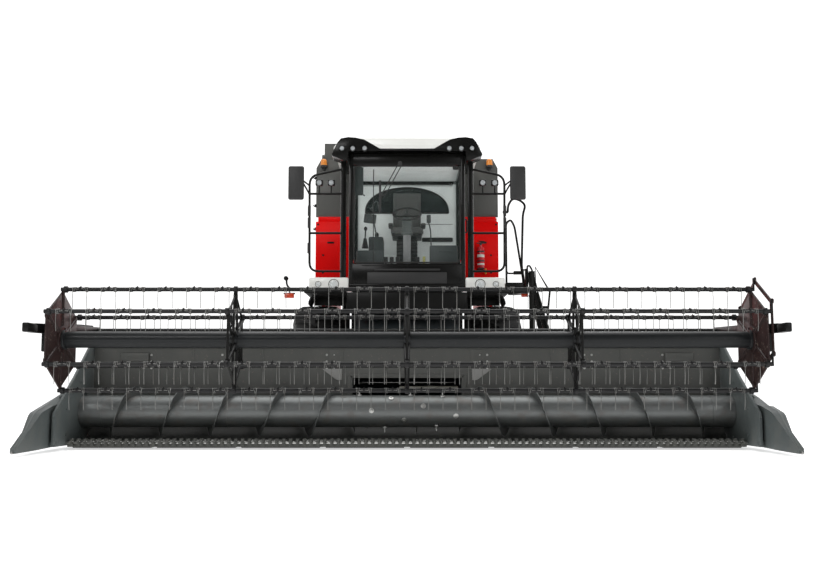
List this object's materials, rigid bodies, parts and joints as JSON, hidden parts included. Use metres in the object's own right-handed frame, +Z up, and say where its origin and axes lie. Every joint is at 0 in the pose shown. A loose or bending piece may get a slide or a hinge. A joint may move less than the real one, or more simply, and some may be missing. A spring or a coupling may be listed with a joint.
{
  "type": "combine harvester with grain header",
  "caption": "Self-propelled grain combine with cab, feeder house, wide cutting table, bat reel with feathering tine bars, grain tank, swing-out unloading auger and boarding ladder.",
  "frame": {"origin": "on the ground, at the centre of the whole object's plan box", "axes": "+Z up, +Y towards the tail, the machine faces -Y, +X to its left-hand side"},
  "size_m": [8, 10.5, 4.36],
  "materials": {
    "red_paint": "glossy red enamel",
    "grey_paint": "satin grey enamel",
    "white_paint": "satin white enamel",
    "black_paint": "satin black enamel",
    "slate_paint": "satin slate enamel",
    "reel_paint": "worn brown-black enamel",
    "worn_steel": "worn bare steel",
    "cast_block": "rough casting",
    "rod_chrome": "polished hard chrome",
    "tyre_rubber": "dull black",
    "clear_glass": "clear",
    "seat_cloth": "woven grey cloth",
    "dark_plastic": "grained",
    "cab_lining": "moulded light grey"
  },
  "bodies": {
    "machine": {"threshing_body": "red_paint", "front_bulkhead": "red_paint", "grain_tank": "grey_paint", "engine_hood": "red_paint", "engine_block": "cast_block", "straw_hood": "red_paint", "front_axle": "black_paint", "rear_axle": "black_paint", "cab_frame": "black_paint", "cab_roof": "white_paint", "cab_rear_wall": "cab_lining", "rear_window": "clear_glass", "windscreen": "clear_glass", "right_window": "clear_glass", "driver_seat": "seat_cloth", "steering_column": "dark_plastic", "cab_console": "dark_plastic", "platform": "black_paint", "headlight_panels": "white_paint", "handrail_left": "black_paint", "handrail_right": "black_paint", "grain_elevator": "grey_paint"},
    "front_left_wheel": {"front_left_tyre": "tyre_rubber", "front_left_rim": "white_paint"},
    "left_knuckle": {"knuckle_left": "black_paint"},
    "front_right_wheel": {"front_right_tyre": "tyre_rubber", "front_right_rim": "white_paint"},
    "right_knuckle": {"knuckle_right": "black_paint"},
    "rear_left_wheel": {"rear_left_tyre": "tyre_rubber", "rear_left_rim": "white_paint"},
    "rear_right_wheel": {"rear_right_tyre": "tyre_rubber", "rear_right_rim": "white_paint"},
    "door": {"cab_door": "black_paint", "cab_door_glass": "clear_glass"},
    "boarding_ladder": {"ladder": "black_paint"},
    "left_side_door": {"side_door_left": "red_paint"},
    "left_tank_lid": {"tank_lid_left": "grey_paint"},
    "right_side_door": {"side_door_right": "red_paint"},
    "right_tank_lid": {"tank_lid_right": "grey_paint"},
    "unloading_spout": {"unloading_auger": "red_paint"},
    "header": {"feeder_house": "slate_paint", "header_frame": "slate_paint", "crop_divider_left": "slate_paint", "crop_divider_right": "slate_paint", "cutterbar": "worn_steel"},
    "table_auger_body": {"table_auger": "worn_steel"},
    "reel_frame": {"reel_arms": "black_paint"},
    "reel": {"reel_rotor": "reel_paint"},
    "reel_bar_1": {"tine_bar_1": "black_paint"},
    "reel_bar_2": {"tine_bar_2": "black_paint"},
    "reel_bar_3": {"tine_bar_3": "black_paint"},
    "reel_bar_4": {"tine_bar_4": "black_paint"},
    "reel_bar_5": {"tine_bar_5": "black_paint"},
    "reel_bar_6": {"tine_bar_6": "black_paint"},
    "control_ring": {"reel_control_ring": "reel_paint"},
    "left_lift_barrel": {"lift_cylinder_left": "black_paint"},
    "left_lift_rod": {"lift_rod_left": "rod_chrome"},
    "right_lift_barrel": {"lift_cylinder_right": "black_paint"},
    "right_lift_rod": {"lift_rod_right": "rod_chrome"}
  },
  "joints": [
    {"name": "front_left_spin", "type": "hinge", "parent": "machine", "child": "front_left_wheel", "pos_m": [1.28, -0.8, 0.935], "axis": [1, 0, 0], "continuous": true},
    {"name": "front_right_spin", "type": "hinge", "parent": "machine", "child": "front_right_wheel", "pos_m": [-1.28, -0.8, 0.935], "axis": [1, 0, 0], "continuous": true},
    {"name": "rear_steer", "type": "hinge", "parent": "machine", "child": "left_knuckle", "pos_m": [0.93, 2.8, 0.625], "axis": [0, 0, 1], "range_deg": [-35, 35]},
    {"name": "right_steer", "type": "hinge", "parent": "machine", "child": "right_knuckle", "pos_m": [-0.93, 2.8, 0.625], "axis": [0, 0, 1], "range_deg": [-35, 35]},
    {"name": "rear_left_spin", "type": "hinge", "parent": "left_knuckle", "child": "rear_left_wheel", "pos_m": [1.25, 2.8, 0.625], "axis": [1, 0, 0], "continuous": true},
    {"name": "rear_right_spin", "type": "hinge", "parent": "right_knuckle", "child": "rear_right_wheel", "pos_m": [-1.25, 2.8, 0.625], "axis": [1, 0, 0], "continuous": true},
    {"name": "cab_door_swing", "type": "hinge", "parent": "machine", "child": "door", "pos_m": [0.775, -1.0203, 2.985], "axis": [0, 0, 1], "range_deg": [0, 80]},
    {"name": "ladder_swing", "type": "hinge", "parent": "machine", "child": "boarding_ladder", "pos_m": [1.66, -2.2, 1.5], "axis": [0, 0, -1], "range_deg": [0, 90]},
    {"name": "side_door_left_lift", "type": "hinge", "parent": "machine", "child": "left_side_door", "pos_m": [1.3, 1.6, 3.2], "axis": [0, -1, 0], "range_deg": [0, 60]},
    {"name": "tank_lid_left_lift", "type": "hinge", "parent": "machine", "child": "left_tank_lid", "pos_m": [0.995, 0.6, 4.0803], "axis": [0, 1, 0], "range_deg": [0, 75]},
    {"name": "side_door_right_lift", "type": "hinge", "parent": "machine", "child": "right_side_door", "pos_m": [-1.3, 1.6, 3.2], "axis": [0, 1, 0], "range_deg": [0, 60]},
    {"name": "tank_lid_right_lift", "type": "hinge", "parent": "machine", "child": "right_tank_lid", "pos_m": [-0.995, 0.6, 4.0803], "axis": [0, -1, 0], "range_deg": [0, 75]},
    {"name": "unloading_auger_swing", "type": "hinge", "parent": "machine", "child": "unloading_spout", "pos_m": [1.2, -0.35, 3.55], "axis": [0, 0, -1], "range_deg": [0, 95]},
    {"name": "feeder_lift", "type": "hinge", "parent": "machine", "child": "header", "pos_m": [0, -1.42, 1.62], "axis": [-1, 0, 0], "range_deg": [0, 22]},
    {"name": "table_auger_spin", "type": "hinge", "parent": "header", "child": "table_auger_body", "pos_m": [0, -3.545, 0.41], "axis": [1, 0, 0], "continuous": true},
    {"name": "reel_lift", "type": "hinge", "parent": "header", "child": "reel_frame", "pos_m": [0, -3.07, 1.36], "axis": [-1, 0, 0], "range_deg": [-7, 24]},
    {"name": "reel_spin", "type": "hinge", "parent": "reel_frame", "child": "reel", "pos_m": [0, -4.63, 1.2], "axis": [1, 0, 0], "continuous": true},
    {"name": "bar_1_feather", "type": "hinge", "parent": "reel", "child": "reel_bar_1", "pos_m": [0, -4.63, 1.74], "axis": [1, 0, 0], "continuous": true},
    {"name": "bar_2_feather", "type": "hinge", "parent": "reel", "child": "reel_bar_2", "pos_m": [0, -4.16235, 1.47], "axis": [1, 0, 0], "continuous": true},
    {"name": "bar_3_feather", "type": "hinge", "parent": "reel", "child": "reel_bar_3", "pos_m": [0, -4.16235, 0.93], "axis": [1, 0, 0], "continuous": true},
    {"name": "bar_4_feather", "type": "hinge", "parent": "reel", "child": "reel_bar_4", "pos_m": [0, -4.63, 0.66], "axis": [1, 0, 0], "continuous": true},
    {"name": "bar_5_feather", "type": "hinge", "parent": "reel", "child": "reel_bar_5", "pos_m": [0, -5.09765, 0.93], "axis": [1, 0, 0], "continuous": true},
    {"name": "bar_6_feather", "type": "hinge", "parent": "reel", "child": "reel_bar_6", "pos_m": [0, -5.09765, 1.47], "axis": [1, 0, 0], "continuous": true},
    {"name": "ring_spin", "type": "hinge", "parent": "reel_frame", "child": "control_ring", "pos_m": [3.7343, -4.63, 1.305], "axis": [1, 0, 0], "continuous": true},
    {"name": "left_barrel_tilt", "type": "hinge", "parent": "machine", "child": "left_lift_barrel", "pos_m": [0.55, -0.9, 0.6], "axis": [-1, 0, 0], "range_deg": [-1, 15.96]},
    {"name": "left_rod_slide", "type": "slide", "parent": "left_lift_barrel", "child": "left_lift_rod", "axis": [0, -0.9947, -0.1029], "range_m": [-0.01, 0.4012]},
    {"name": "right_barrel_tilt", "type": "hinge", "parent": "machine", "child": "right_lift_barrel", "pos_m": [-0.55, -0.9, 0.6], "axis": [-1, 0, 0], "range_deg": [-1, 15.96]},
    {"name": "right_rod_slide", "type": "slide", "parent": "right_lift_barrel", "child": "right_lift_rod", "axis": [0, -0.9947, -0.1029], "range_m": [-0.01, 0.4012]}
  ],
  "couplings": [
    {"joint": "right_steer", "follows": "rear_steer", "ratio": 1},
    {"joint": "left_barrel_tilt", "follows": "feeder_lift", "ratio": 0.67997},
    {"joint": "left_rod_slide", "follows": "feeder_lift", "m_per_rad": 1.0187},
    {"joint": "right_barrel_tilt", "follows": "feeder_lift", "ratio": 0.67997},
    {"joint": "right_rod_slide", "follows": "feeder_lift", "m_per_rad": 1.0187},
    {"joint": "bar_1_feather", "follows": "reel_spin", "ratio": -1},
    {"joint": "bar_2_feather", "follows": "reel_spin", "ratio": -1},
    {"joint": "bar_3_feather", "follows": "reel_spin", "ratio": -1},
    {"joint": "bar_4_feather", "follows": "reel_spin", "ratio": -1},
    {"joint": "bar_5_feather", "follows": "reel_spin", "ratio": -1},
    {"joint": "bar_6_feather", "follows": "reel_spin", "ratio": -1},
    {"joint": "ring_spin", "follows": "reel_spin", "ratio": 1}
  ]
}
